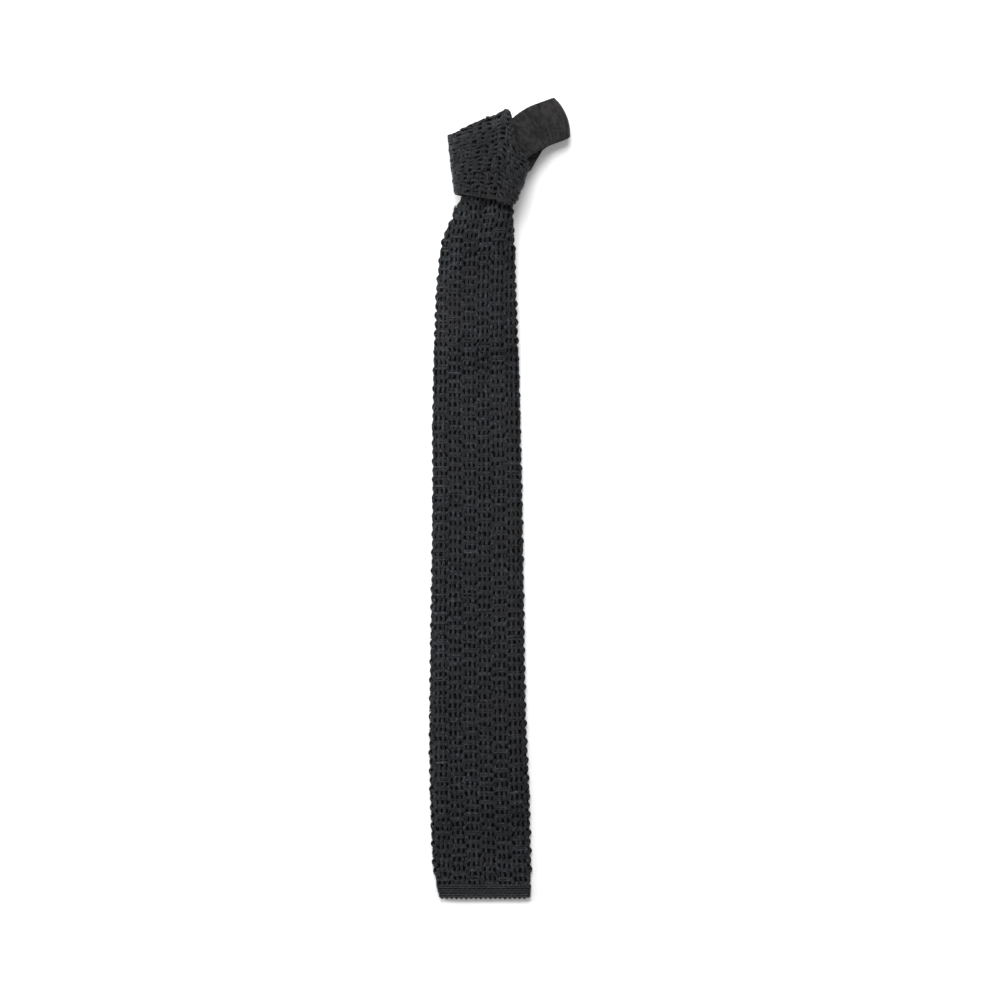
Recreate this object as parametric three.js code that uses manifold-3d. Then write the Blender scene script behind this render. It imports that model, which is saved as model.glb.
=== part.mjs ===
// A black knit tie with a square end, tied in a four-in-hand knot and laid flat, in millimetres.
// +X is across the blade, +Y runs from the square end up to the knot, and +Z is up from the table.
// The tie is one flat knitted tube. It is modelled as the stretches that a maker would name: the front
// blade with its plain hem, the wrap round the knot, the finer neck band, and the tail with its hem.
// The neck band is a whole loop: it leaves the knot, folds at the stub that shows beside the knot, and
// goes back under the knot and the blade, where the tail lies too.
import * as THREE from 'three';
import { mergeVertices } from 'three/addons/utils/BufferGeometryUtils.js';
import Module from 'manifold-3d';

// Driving dimensions
const bladeWidth = 62; // widest place of the front blade, near its end
const bladeLength = 432; // from the knot's mouth to the end of the hem
const tailWidth = 44;
const tailLength = 372; // from the knot's mouth to the end of the tail's hem
const hemHeight = 8.4;
const knitWall = 1.3; // one layer of the open knit
const tubeGap = 0.4; // between the two layers of the flattened tube
const bandWidth = 26.4;
const bandThick = 2.2; // both layers of the finer, closed knit of the neck band
const knotWidth = 50.2; // across the knot, at its widest
const knotHeight = 54.6; // along the knot, from its mouth to its top corner
const wrapWall = 3; // both layers of the stretch that wraps the knot
const loopDrop = 84; // how far the folded neck loop lies below the knot's mouth
const layGap = 0.35; // between layers that lie on each other
const foldBulge = 2.5; // how far the stub's fold bulges in its middle
const mouthRound = 5.5; // how far the blade's edges drop where it leaves the knot
const mouthFall = 48; // the blade comes down from the knot over this length
const slopeLength = 26; // a layer comes down over this length past the end of what it lies on
const hemRidges = 3;
const hemRidgeHeight = 0.35;

// The stack of layers, from the table up: middles of the strips, and the wrap's underside and top
const tubeThick = 2 * knitWall + tubeGap;
const bandLowZ = bandThick / 2;
const bandHighZ = bandLowZ + bandThick + layGap;
const overLoopZ = bandHighZ + bandThick / 2 + layGap;
const backLegZ = overLoopZ + wrapWall + layGap + tubeThick / 2;
const innerStrandZ = backLegZ + tubeThick / 2 + layGap + bandThick / 2;
const outerStrandZ = innerStrandZ + bandThick + layGap;
const frontLegZ = outerStrandZ + bandThick / 2 + layGap + tubeThick / 2;
const wrapTopZ = frontLegZ + tubeThick / 2 + layGap + wrapWall;
const tailMouthZ = backLegZ + tubeThick / 2;

// The blade from the knot's mouth (along 0) to the end of its hem (along 1). width and drift are shares
// of the blade's width, and dimple is a share of its thickness.
const bladeTable = [
  { along: 0.0, width: 0.5, drift: -0.01, dimple: 0.7 },
  { along: 0.006, width: 0.53, drift: -0.02, dimple: 0.8 },
  { along: 0.011, width: 0.575, drift: -0.025, dimple: 0.8 },
  { along: 0.029, width: 0.62, drift: -0.04, dimple: 0.6 },
  { along: 0.057, width: 0.72, drift: -0.08, dimple: 0.3 },
  { along: 0.086, width: 0.76, drift: -0.09, dimple: 0.15 },
  { along: 0.143, width: 0.81, drift: -0.102, dimple: 0.05 },
  { along: 0.316, width: 0.88, drift: -0.1, dimple: 0.0 },
  { along: 0.43, width: 0.9, drift: -0.09, dimple: 0.0 },
  { along: 0.717, width: 0.96, drift: -0.088, dimple: 0.0 },
  { along: 0.861, width: 0.995, drift: -0.065, dimple: 0.0 },
  { along: 0.961, width: 0.985, drift: -0.04, dimple: 0.0 },
  { along: 1.0, width: 0.91, drift: -0.015, dimple: 0.0 },
];

// The tail in the same way, with its own width, under the blade's middle
const tailTable = [
  { along: 0.0, width: 0.4 },
  { along: 0.05, width: 0.5 },
  { along: 0.12, width: 0.66 },
  { along: 0.3, width: 0.82 },
  { along: 0.6, width: 0.92 },
  { along: 0.93, width: 1.0 },
  { along: 1.0, width: 0.95 },
];

// The wrap's two rims across the knot's face, from its left side (across 0) to its right side (across 1).
// x is a share of the knot's width and y of its height, both from the middle of the knot's mouth.
const lowerRim = [
  { across: 0.0, x: -0.395, y: 0.057 },
  { across: 0.2, x: -0.3, y: 0.034 },
  { across: 0.5, x: -0.02, y: -0.011 },
  { across: 0.8, x: 0.24, y: -0.045 },
  { across: 1.0, x: 0.37, y: -0.05 },
];
const upperRim = [
  { across: 0.0, x: -0.483, y: 0.708 },
  { across: 0.1, x: -0.385, y: 0.742 },
  { across: 0.25, x: -0.18, y: 0.842 },
  { across: 0.5, x: 0.1, y: 0.943 },
  { across: 0.64, x: 0.245, y: 0.998 },
  { across: 0.7, x: 0.3, y: 0.95 },
  { across: 0.86, x: 0.366, y: 0.614 },
  { across: 0.97, x: 0.508, y: 0.4 },
  { across: 1.0, x: 0.527, y: 0.33 },
];

// The neck band's middle line seen from above, from the stub's fold to behind the blade. x and y are
// shares as above, and pinch is how much of its width a strand keeps where the knot bunches it.
const bandTable = [
  { x: 0.853, y: 0.903, pinch: 1.0 },
  { x: 0.631, y: 0.8215, pinch: 1.0 },
  { x: 0.484, y: 0.716, pinch: 1.0 },
  { x: 0.318, y: 0.5, pinch: 0.62 },
  { x: 0.161, y: 0.249, pinch: 0.5 },
  { x: 0.06, y: -0.05, pinch: 0.5 },
  { x: -0.035, y: -0.46, pinch: 0.5 },
];
const strandEndRow = 3.75; // where the two upper strands end, inside the knot

const up = new THREE.Vector3(0, 0, 1);
const down = new THREE.Vector3(0, 0, -1);
const lerp = THREE.MathUtils.lerp;
const smooth = (from, to, at) => THREE.MathUtils.smoothstep(at, from, to);

// A column of a table at a place, with straight or smooth runs between the rows.
function readTable(table, key, column, at) {
  if (at <= table[0][key]) return table[0][column];
  for (let i = 1; i < table.length; i++) {
    if (at <= table[i][key]) {
      const share = (at - table[i - 1][key]) / (table[i][key] - table[i - 1][key]);
      return THREE.MathUtils.lerp(table[i - 1][column], table[i][column], share);
    }
  }
  return table[table.length - 1][column];
}

// Closed rings of points joined into one surface, in a circle or with a cap at each end. In a ring the
// point j of the upper side lies over the point count - j of the lower side.
function loft(rings, circle = false) {
  const count = rings[0].length;
  const positions = rings.flatMap((ring) => ring.flatMap((p) => [p.x, p.y, p.z]));
  const faces = [];
  for (let i = 0; i < (circle ? rings.length : rings.length - 1); i++) {
    const here = i * count;
    const next = ((i + 1) % rings.length) * count;
    for (let j = 0; j < count; j++) {
      const k = (j + 1) % count;
      faces.push(here + j, next + j, next + k, here + j, next + k, here + k);
    }
  }
  const end = (rings.length - 1) * count;
  const bothCaps = (a, b, c) => faces.push(a, b, c, end + a, end + c, end + b);
  const half = count / 2 - 1;
  for (let j = 0; !circle && j <= half; j++) {
    if (j < half) bothCaps(j, j + 1, count - j - 1);
    if (j > 0) bothCaps(j, count - j - 1, count - j);
  }
  const geometry = new THREE.BufferGeometry();
  geometry.setAttribute('position', new THREE.Float32BufferAttribute(positions, 3));
  geometry.setIndex(signedVolume(geometry, faces) < 0 ? faces.reverse() : faces);
  return geometry;
}

function signedVolume(geometry, faces) {
  const corner = (i) => new THREE.Vector3().fromBufferAttribute(geometry.attributes.position, faces[i]);
  let sum = 0;
  for (let i = 0; i < faces.length; i += 3) {
    sum += corner(i).dot(corner(i + 1).cross(corner(i + 2))) / 6;
  }
  return sum;
}

// One ring of a flat strip. A station has the strip's middle, its directions across and up, its width
// and thickness, and the number of steps across. Beyond flatHalf from the middle the strip curls down,
// dimple lowers its middle, and crown moves its middle forward along it.
function stripRing(station) {
  const { middle, across, upper, width, thick, steps } = station;
  const { curl = 0, flatHalf = 0, dimple = 0, crown = 0, along = across } = station;
  const roundEnd = Math.min(thick / 2, width / 8);
  const half = width / 2 - roundEnd;
  const dimpleShare = 0.38;
  const place = (share, height) => {
    const bend = -curl * Math.max(0, Math.abs(share) * half - flatHalf) ** 2;
    const dip = -dimple * Math.exp(-((share / dimpleShare) ** 2));
    const p = middle.clone().addScaledVector(across, share * half);
    p.addScaledVector(upper, bend + dip + height);
    return p.addScaledVector(along, crown * (1 - share * share));
  };
  const tip = (side) => place(side, 0).addScaledVector(across, side * roundEnd);
  const shares = Array.from({ length: steps + 1 }, (_, i) => (2 * i) / steps - 1);
  const upperSide = shares.map((share) => place(share, thick / 2));
  const lowerSide = shares.map((share) => place(share, -thick / 2)).reverse();
  return [tip(-1), ...upperSide, tip(1), ...lowerSide];
}

const strip = (stations) => loft(stations.map(stripRing));

const wasm = await Module();
wasm.setup();

function toSolid(geometry) {
  const merged = mergeVertices(geometry, 1e-4);
  const vertProperties = new Float32Array(merged.attributes.position.array);
  const triVerts = new Uint32Array(merged.index.array);
  return new wasm.Manifold(new wasm.Mesh({ numProp: 3, vertProperties, triVerts }));
}

// A flattened tube: a strip with room inside, which starts where the room's stations start and is open
// past its last station.
function tube(stations, roomStations) {
  const room = roomStations.map((s) => ({ ...s, width: s.width - 2 * knitWall, thick: tubeGap }));
  const last = room[room.length - 1];
  room.push({ ...last, middle: last.middle.clone().setY(last.middle.y - hemHeight) });
  const mesh = toSolid(strip(stations)).subtract(toSolid(strip(room))).getMesh();
  const geometry = new THREE.BufferGeometry();
  geometry.setAttribute('position', new THREE.Float32BufferAttribute(mesh.vertProperties, 3));
  geometry.setIndex(new THREE.Uint32BufferAttribute(mesh.triVerts, 1));
  return geometry;
}

// Places along a hanging length, 0 at the knot's mouth and negative below it: evenly spaced, and closer
// in each bend, which has its start, end and number of steps.
const evenStep = 30;
const closest = 2.5;
function placesAlong(length, bends) {
  const places = [0, length];
  for (let y = evenStep; y < length; y += evenStep) places.push(y);
  for (const [from, to, count] of bends) {
    for (let i = 0; i <= count; i++) places.push(lerp(from, to, i / count));
  }
  const sorted = places.filter((y) => y <= length).sort((a, b) => a - b);
  return sorted.filter((y, i) => i === 0 || y - sorted[i - 1] > closest || y === length).map((y) => -y);
}

// How the layers lie at a place below the knot: each lies on what is under it, and falls to the table
// past the end of that. Near the knot they rise into its mouth.
const bladeColumn = (name, y) => bladeWidth * readTable(bladeTable, 'along', name, -y / bladeLength);
const tailWidthAt = (y) => tailWidth * readTable(tailTable, 'along', 'width', -y / tailLength);
const tailUnderZ = (y) => overLoopZ * (1 - smooth(loopDrop, loopDrop + slopeLength, -y));
const pastTail = (y) => smooth(tailLength + 2 * layGap, tailLength + slopeLength, -y);
const bladeUnderZ = (y) => (tailUnderZ(y) + tubeThick + layGap) * (1 - pastTail(y));
const mouthRise = (y) => 1 - smooth(0, mouthFall, -y);
const flatShare = 0.42; // of the neck band's width, lies flat over the folded loop
const mouthFlatShare = 0.08;
const sagOnLoop = 0.62; // share of the height under the blade's middle that its edges lose
const sagOnTail = 0.92;

function drape(y) {
  const rise = mouthRise(y);
  const pastLoop = smooth(loopDrop, loopDrop + slopeLength, -y);
  const lyingFlat = lerp(flatShare * bandWidth, tailWidthAt(y) / 2, pastLoop);
  const flatHalf = lerp(lyingFlat, mouthFlatShare * bandWidth, rise);
  const under = bladeUnderZ(y);
  const sag = lerp(lerp(sagOnLoop, sagOnTail, pastLoop) * under, mouthRound, rise);
  const drop = Math.min(sag, lerp(under, sag, rise));
  const reach = Math.max(bladeColumn('width', y) / 2 - tubeThick / 2 - flatHalf, tubeThick);
  return { flatHalf, curl: drop / reach ** 2 };
}

function bladeStation(y) {
  const z = lerp(bladeUnderZ(y) + tubeThick / 2, frontLegZ - layGap, mouthRise(y));
  return {
    middle: new THREE.Vector3(bladeColumn('drift', y), y, z),
    across: new THREE.Vector3(1, 0, 0),
    upper: up,
    width: bladeColumn('width', y),
    thick: tubeThick,
    steps: 10,
    dimple: (tubeThick / bladeWidth) * bladeColumn('dimple', y),
    ...drape(y),
  };
}

// Inside the knot the blade comes up behind the neck band's strands, turns over them and goes down
// inside the wrap, so it has a hook at its top, square to the wrap's upper rim.
const hookPlace = { x: -0.04, y: 0.68, width: 0.5 }; // shares of the knot's width, height and width
const rimLeft = upperRim[0];
const rimPeak = upperRim[4];
const hookTilt = Math.atan2((rimPeak.y - rimLeft.y) * knotHeight, (rimPeak.x - rimLeft.x) * knotWidth);
const hookRadius = (frontLegZ - backLegZ) / 2;

function legStation(share, z, upper, forward = 0) {
  const mouth = bladeStation(0);
  const tilt = hookTilt * smooth(0, 1, share);
  const along = new THREE.Vector3(-Math.sin(tilt), Math.cos(tilt), 0);
  const top = new THREE.Vector3(hookPlace.x * knotWidth, hookPlace.y * knotHeight, z);
  const middle = mouth.middle.clone().lerp(top, share).setZ(z);
  const inMouth = upper.z > 0.5 ? 1 - smooth(0.05, 0.35, share) : 0;
  return {
    ...mouth,
    middle: middle.addScaledVector(along, forward),
    across: new THREE.Vector3(Math.cos(tilt), Math.sin(tilt), 0),
    upper,
    width: lerp(mouth.width, hookPlace.width * knotWidth, smooth(0, 0.5, share)),
    curl: mouth.curl * inMouth,
    dimple: mouth.dimple * inMouth,
  };
}

function hookStations() {
  const stations = [0.55, 0.8].map((share) => legStation(share, backLegZ, down));
  const turns = 8;
  for (let i = 0; i <= turns; i++) {
    const angle = (Math.PI * i) / turns - Math.PI / 2;
    const outward = new THREE.Vector3(-Math.sin(hookTilt), Math.cos(hookTilt), 0);
    outward.multiplyScalar(Math.cos(angle)).setZ(Math.sin(angle));
    const z = (frontLegZ + backLegZ) / 2 + hookRadius * Math.sin(angle);
    stations.push(legStation(1, z, outward, hookRadius * Math.cos(angle)));
  }
  for (const share of [0.8, 0.6, 0.4, 0.2]) {
    stations.push(legStation(share, frontLegZ - layGap * (1 - share), up));
  }
  return stations;
}

const pressedLength = 60; // the tubes are pressed shut nearer the knot than this
const isOpenTube = (station) => station.middle.y < -pressedLength;
const mouthBend = [0, mouthFall, 9];
const loopBend = [loopDrop, loopDrop + slopeLength, 6];
const tailEndBend = [tailLength, tailLength + slopeLength, 6];

const bladePlaces = placesAlong(bladeLength - hemHeight - layGap, [mouthBend, loopBend, tailEndBend]);
const bladeStations = bladePlaces.map(bladeStation);
const frontBlade = tube([...hookStations(), ...bladeStations], bladeStations.filter(isOpenTube));

// A hem is a short flat tube of plain rows with low ridges between them, open at both ends.
function hem(length, stationAt) {
  const steps = 2 * hemRidges;
  const stations = [];
  for (let i = 0; i <= steps; i++) {
    const station = stationAt(-length + hemHeight * (1 - i / steps));
    const valley = i % 2 === 0 ? 2 * hemRidgeHeight : 0;
    stations.push({ ...station, thick: tubeThick - valley });
  }
  return tube(stations, [stationAt(-length + 2 * hemHeight), ...stations]);
}
const bladeHem = hem(bladeLength, bladeStation);

// The neck band's middle line from above: through the table's rows, then straight down behind the blade.
const bandPlan = bandTable.map((row) => new THREE.Vector3(row.x * knotWidth, row.y * knotHeight, 0));
const bandFoldRadius = (bandHighZ - bandLowZ) / 2;
const bandEndX = bladeColumn('drift', -loopDrop);
bandPlan.push(new THREE.Vector3(0.9 * bandEndX, -0.72 * loopDrop, 0)); // almost straight by here
bandPlan.push(new THREE.Vector3(bandEndX, -loopDrop + bandFoldRadius + bandThick / 2, 0));
const bandCurve = new THREE.CatmullRomCurve3(bandPlan, false, 'centripetal');
const bandRows = bandPlan.length - 1;
const rowColumn = bandTable.map((row, index) => ({ index, pinch: row.pinch }));

function bandStation(row, z, upper, pinched = false, forward = 0) {
  const heading = bandCurve.getTangent(row / bandRows);
  const kept = pinched ? readTable(rowColumn, 'index', 'pinch', row) : 1;
  return {
    middle: bandCurve.getPoint(row / bandRows).setZ(z).addScaledVector(heading, forward),
    across: new THREE.Vector3(-heading.y, heading.x, 0),
    along: heading,
    upper,
    width: bandWidth * kept,
    thick: bandThick,
    steps: 6,
    crown: -foldBulge * (1 - smooth(0, 1.1, row)),
  };
}

// The two upper strands climb from the fold to their places inside the knot.
const climbStart = 0.3;
const climbEnd = 2.6;
function strandZ(row, inKnotZ, steps) {
  const atFold = bandHighZ + steps * (bandThick + layGap);
  return lerp(atFold, inKnotZ, smooth(climbStart, climbEnd, row));
}
const innerZ = (row) => strandZ(row, innerStrandZ, 1);
const outerZ = (row) => strandZ(row, outerStrandZ, 2);

// A fold of the band from one level to another, which bulges forward (1) or back (-1) along the band
function foldStations(row, fromZ, toZ, side) {
  const turns = 6;
  const radius = Math.abs(toZ - fromZ) / 2;
  const stations = [];
  for (let i = 1; i < turns; i++) {
    const angle = (Math.PI * i) / turns;
    const upper = bandCurve.getTangent(row / bandRows).multiplyScalar(side * Math.sin(angle));
    upper.z = Math.cos(angle) * Math.sign(fromZ - toZ);
    const z = (fromZ + toZ) / 2 + ((fromZ - toZ) / 2) * Math.cos(angle);
    stations.push(bandStation(row, z, upper, false, side * radius * Math.sin(angle)));
  }
  return stations;
}

function neckBandStations() {
  const strandRows = [strandEndRow, 3.4, 3, 2.6, 2.2, 1.8, 1.4, 1, 0.6, climbStart, 0];
  const underRows = [0, 0.5, 1, 1.5, 2, 2.5, 3, 3.5, 4, 5, 6, 7, bandRows];
  return [
    ...strandRows.map((row) => bandStation(row, outerZ(row), up, true)),
    ...foldStations(0, outerZ(0), bandLowZ, -1),
    ...underRows.map((row) => bandStation(row, bandLowZ, down)),
    ...foldStations(bandRows, bandLowZ, bandHighZ, 1),
    ...underRows.reverse().map((row) => bandStation(row, bandHighZ, up)),
    ...foldStations(0, bandHighZ, innerZ(0), -1),
    ...strandRows.reverse().map((row) => bandStation(row, innerZ(row), down, true)),
  ];
}
const neckBand = strip(neckBandStations());

// The tail starts where the neck band's strands end inside the knot, leaves the knot's mouth behind the
// blade, and lies on the folded loop and then on the table.
const strandsZ = (innerStrandZ + outerStrandZ) / 2;
const tailLean = 0.09 * knotWidth;

function tailInKnot(row) {
  const z = lerp(strandsZ, tailMouthZ, smooth(strandEndRow, 4.5, row));
  return { ...bandStation(row, z, up, true), thick: tubeThick, steps: 8, crown: 0 };
}

function tailStation(y) {
  const rise = mouthRise(y);
  return {
    middle: new THREE.Vector3(
      bladeColumn('drift', y) + tailLean * rise,
      y,
      lerp(tailUnderZ(y) + tubeThick / 2, tailMouthZ, rise)
    ),
    across: new THREE.Vector3(1, 0, 0),
    upper: up,
    width: tailWidthAt(y),
    thick: tubeThick,
    steps: 8,
    ...drape(y),
  };
}

const tailPlaces = placesAlong(tailLength - hemHeight - layGap, [mouthBend, loopBend]);
const tailStations = tailPlaces.map(tailStation);
const tailStart = [strandEndRow + 0.06, 4.1, 4.5].map(tailInKnot);
const tailBlade = tube([...tailStart, ...tailStations], tailStations.filter(isOpenTube));
const tailHem = hem(tailLength, tailStation);

// The wrap goes round the knot as a wide band. Its face takes the two rims' outline, and its back lies
// flat on the folded loop, straight between the sides.
const wrapTurns = 40;
const wrapRises = [0, 0.1, 0.3, 0.55, 0.76, 0.89, 1]; // sections between the lower and upper rims
const faceSquareness = 3.4;
const backSquareness = 5;
const faceCrown = 1.6;
const topFall = 4.5; // the face bends down by this much over the knot's top, left of the neck band
const lipFall = 1; // and by this much at the knot's mouth
const rimInset = 0.02; // of the knot's height, kept for the rounding of the rims

function rimPoint(table, share, onFace) {
  const ends = [table[0], table[table.length - 1]];
  const column = (name) => {
    return onFace ? readTable(table, 'across', name, share) : lerp(ends[0][name], ends[1][name], share);
  };
  return new THREE.Vector3(column('x') * knotWidth, column('y') * knotHeight, 0);
}

function wrapPoint(turn, rise) {
  const onFace = turn <= 0.5;
  const angle = 2 * Math.PI * turn;
  const share = (1 - Math.cos(angle)) / 2;
  const square = onFace ? faceSquareness : backSquareness;
  const height = (1 - Math.abs(Math.cos(angle)) ** square) ** (1 / square);
  const overTop = smooth(0.8, 1, rise) * (1 - smooth(0.5, 0.68, share));
  const fall = topFall * overTop + lipFall * (1 - smooth(0, 0.25, rise));
  const crown = onFace ? (faceCrown * (1 - (2 * rise - 1) ** 2) - fall) * height : 0;
  const halfHeight = (wrapTopZ - overLoopZ) / 2;
  const p = rimPoint(lowerRim, share, onFace).lerp(rimPoint(upperRim, share, onFace), rise);
  return p.setZ(overLoopZ + halfHeight * (onFace ? 1 + height : 1 - height) + crown);
}

function wrapRing(turn) {
  const nudge = 1e-3;
  const outer = [];
  const inner = [];
  for (const wrapRise of wrapRises) {
    const rise = lerp(rimInset, 1 - rimInset, wrapRise);
    const round = wrapPoint((turn + nudge) % 1, rise).sub(wrapPoint((turn - nudge + 1) % 1, rise));
    const along = wrapPoint(turn, rise + nudge).sub(wrapPoint(turn, rise - nudge));
    const inward = round.cross(along).normalize().multiplyScalar(-wrapWall);
    outer.push(wrapPoint(turn, rise));
    inner.push(wrapPoint(turn, rise).add(inward));
  }
  const rimTip = (i, next) => {
    const outward = outer[i].clone().sub(outer[next]).normalize().multiplyScalar(wrapWall / 3);
    return outer[i].clone().lerp(inner[i], 0.5).add(outward);
  };
  const last = outer.length - 1;
  const top = rimTip(last, last - 1);
  return [rimTip(0, 1), ...outer, top, ...inner.reverse()];
}

function wrapGeometry() {
  const rings = [];
  for (let i = 0; i < wrapTurns; i++) rings.push(wrapRing((i + 0.5) / wrapTurns));
  return loft(rings, true);
}

const openKnit = new THREE.MeshStandardMaterial({ color: 0x232528, roughness: 0.85, metalness: 0 });
const plainKnit = new THREE.MeshStandardMaterial({ color: 0x2b2a2b, roughness: 0.8, metalness: 0 });

const tie = new THREE.Group();
function addPiece(name, geometry, material) {
  const piece = new THREE.Mesh(geometry, material);
  piece.name = name;
  tie.add(piece);
}
addPiece('front_blade', frontBlade, openKnit);
addPiece('blade_hem', bladeHem, plainKnit);
addPiece('knot_wrap', wrapGeometry(), openKnit);
addPiece('neck_band', neckBand, plainKnit);
addPiece('tail_blade', tailBlade, openKnit);
addPiece('tail_hem', tailHem, plainKnit);

// The origin is under the middle of the whole tie, on the table.
const reach = new THREE.Box3().setFromObject(tie, true);
const centre = reach.getCenter(new THREE.Vector3());
tie.position.set(-centre.x, -centre.y, -reach.min.z);

export default tie;
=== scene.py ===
import math
import bmesh
import bpy
import numpy as np
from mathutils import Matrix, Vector


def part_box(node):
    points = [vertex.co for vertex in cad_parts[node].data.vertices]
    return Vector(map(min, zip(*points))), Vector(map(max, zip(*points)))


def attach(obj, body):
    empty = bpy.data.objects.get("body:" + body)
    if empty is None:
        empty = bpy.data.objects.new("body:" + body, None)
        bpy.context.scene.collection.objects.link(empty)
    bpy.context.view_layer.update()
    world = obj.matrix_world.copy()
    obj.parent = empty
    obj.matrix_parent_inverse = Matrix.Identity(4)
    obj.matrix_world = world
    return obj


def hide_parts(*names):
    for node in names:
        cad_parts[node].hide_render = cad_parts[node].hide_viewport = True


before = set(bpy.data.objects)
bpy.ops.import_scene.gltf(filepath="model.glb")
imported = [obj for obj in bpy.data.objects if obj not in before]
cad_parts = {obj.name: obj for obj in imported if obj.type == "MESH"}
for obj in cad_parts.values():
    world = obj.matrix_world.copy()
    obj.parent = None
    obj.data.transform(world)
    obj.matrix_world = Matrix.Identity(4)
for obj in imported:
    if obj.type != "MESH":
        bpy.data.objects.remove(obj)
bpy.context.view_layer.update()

# Knit tie with a square end, tied and laid flat. Lengths are in millimetres until a mesh is made.
# The solids' own sizes come first, because every piece is laid over them.
solid = {
    "bladeWidth": 62.0, "bladeLength": 432.0,
    "tailWidth": 44.0, "tailLength": 372.0,
    "hemHeight": 8.4,
    "tubeThick": 3.0,                  # two layers of knit and the gap between them
    "bandWidth": 26.4, "bandThick": 2.2,
    "knotWidth": 50.2, "knotHeight": 54.6,
    "wrapWall": 3.0,
    "loopDrop": 84.0,                  # the folded neck loop ends this far below the knot's mouth
    "layGap": 0.35,
    "foldBulge": 2.5,
    "mouthRound": 5.5, "mouthFall": 48.0, "slope": 26.0,
    "strandEndRow": 3.75,              # the row of the band's table at which its strands end in the knot
    "dimpleWidth": 0.38,               # share of half the blade's width
}
bladeTable = {
    "along": [0.0, 0.006, 0.011, 0.029, 0.057, 0.086, 0.143, 0.316, 0.43, 0.717, 0.861, 0.961, 1.0],
    "width": [0.5, 0.53, 0.575, 0.62, 0.72, 0.76, 0.81, 0.88, 0.9, 0.96, 0.995, 0.985, 0.91],
    "drift": [-0.01, -0.02, -0.025, -0.04, -0.08, -0.09, -0.102, -0.1, -0.09, -0.088, -0.065, -0.04, -0.015],
    "dimple": [0.7, 0.8, 0.8, 0.6, 0.3, 0.15, 0.05, 0.0, 0.0, 0.0, 0.0, 0.0, 0.0],
}
tailTable = {
    "along": [0.0, 0.05, 0.12, 0.3, 0.6, 0.93, 1.0],
    "width": [0.4, 0.5, 0.66, 0.82, 0.92, 1.0, 0.95],
}
lowerRim = {
    "across": [0.0, 0.2, 0.5, 0.8, 1.0],
    "x": [-0.395, -0.3, -0.02, 0.24, 0.37],
    "y": [0.057, 0.034, -0.011, -0.045, -0.05],
}
upperRim = {
    "across": [0.0, 0.1, 0.25, 0.5, 0.64, 0.7, 0.86, 0.97, 1.0],
    "x": [-0.483, -0.385, -0.18, 0.1, 0.245, 0.3, 0.366, 0.508, 0.527],
    "y": [0.708, 0.742, 0.842, 0.943, 0.998, 0.95, 0.614, 0.4, 0.33],
}
bandTable = {
    "x": [0.853, 0.631, 0.484, 0.318, 0.161, 0.06, -0.035],
    "y": [0.903, 0.8215, 0.716, 0.5, 0.249, -0.05, -0.46],
    "pinch": [1.0, 1.0, 1.0, 0.62, 0.5, 0.5, 0.5],
}

# Heights of the layers' middles, from the table up
level = {"bandLow": solid["bandThick"] / 2}
level["bandHigh"] = level["bandLow"] + solid["bandThick"] + solid["layGap"]
level["overLoop"] = level["bandHigh"] + solid["bandThick"] / 2 + solid["layGap"]
level["backLeg"] = level["overLoop"] + solid["wrapWall"] + solid["layGap"] + solid["tubeThick"] / 2
level["innerStrand"] = level["backLeg"] + (solid["tubeThick"] + solid["bandThick"]) / 2 + solid["layGap"]
level["outerStrand"] = level["innerStrand"] + solid["bandThick"] + solid["layGap"]
level["frontLeg"] = level["outerStrand"] + (solid["bandThick"] + solid["tubeThick"]) / 2 + solid["layGap"]
level["wrapTop"] = level["frontLeg"] + solid["tubeThick"] / 2 + solid["layGap"] + solid["wrapWall"]
level["tailMouth"] = level["backLeg"] + solid["tubeThick"] / 2
up = np.array([0.0, 0.0, 1.0])
random = np.random.default_rng(7)


def smooth(low, high, at):
    t = np.clip((np.asarray(at, float) - low) / (high - low), 0, 1)
    return t * t * (3 - 2 * t)


def lerp(a, b, t):
    return a + (b - a) * t


def unit(v):
    return v / np.maximum(np.linalg.norm(v, axis=-1, keepdims=True), 1e-9)


def row(x, y, z):
    x, y, z = np.broadcast_arrays(x, y, z)
    return np.stack([x, y, z], -1).astype(float)


# How far along a line of points each of them is
def runLength(points):
    return np.concatenate([[0], np.linalg.norm(np.diff(points, axis=0), axis=1).cumsum()])


# A smooth curve through a table's rows, which doesn't swing past them
def readTable(table, key, column, at):
    xs, ys = np.array(table[key], float), np.array(table[column], float)
    at = np.clip(np.asarray(at, float), xs[0], xs[-1])
    steps, rises = np.diff(xs), np.diff(ys)
    slopes = rises / steps
    product, total = slopes[:-1] * slopes[1:], slopes[:-1] + slopes[1:]
    inner = np.where(product > 0, 2 * product / np.where(total == 0, 1, total), 0.0)
    tangents = np.concatenate([[slopes[0]], inner, [slopes[-1]]])
    i = np.clip(np.searchsorted(xs, at, side="right") - 1, 0, len(steps) - 1)
    t = (at - xs[i]) / steps[i]
    return (ys[i] + rises[i] * t * t * (3 - 2 * t)
            + steps[i] * t * (1 - t) * ((1 - t) * tangents[i] - t * tangents[i + 1]))


# The part's origin is under the middle of its box, so the knot's mouth is found from the solids.
def mouthPlace():
    bandEndX = solid["bladeWidth"] * np.interp(
        solid["loopDrop"] / solid["bladeLength"], bladeTable["along"], bladeTable["drift"])
    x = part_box("neck_band")[0].x * 1000 - (bandEndX - solid["bandWidth"] / 2)
    return np.array([x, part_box("blade_hem")[0].y * 1000 + solid["bladeLength"], 0.0])


mouth = mouthPlace()
print("mouth of the knot at", mouth.round(2).tolist())


# How the layers lie at a place y below the knot, as in the solids
def bladeColumn(name, y):
    return solid["bladeWidth"] * readTable(bladeTable, "along", name, -np.asarray(y) / solid["bladeLength"])


def tailWidthAt(y):
    return solid["tailWidth"] * readTable(tailTable, "along", "width", -np.asarray(y) / solid["tailLength"])


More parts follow.
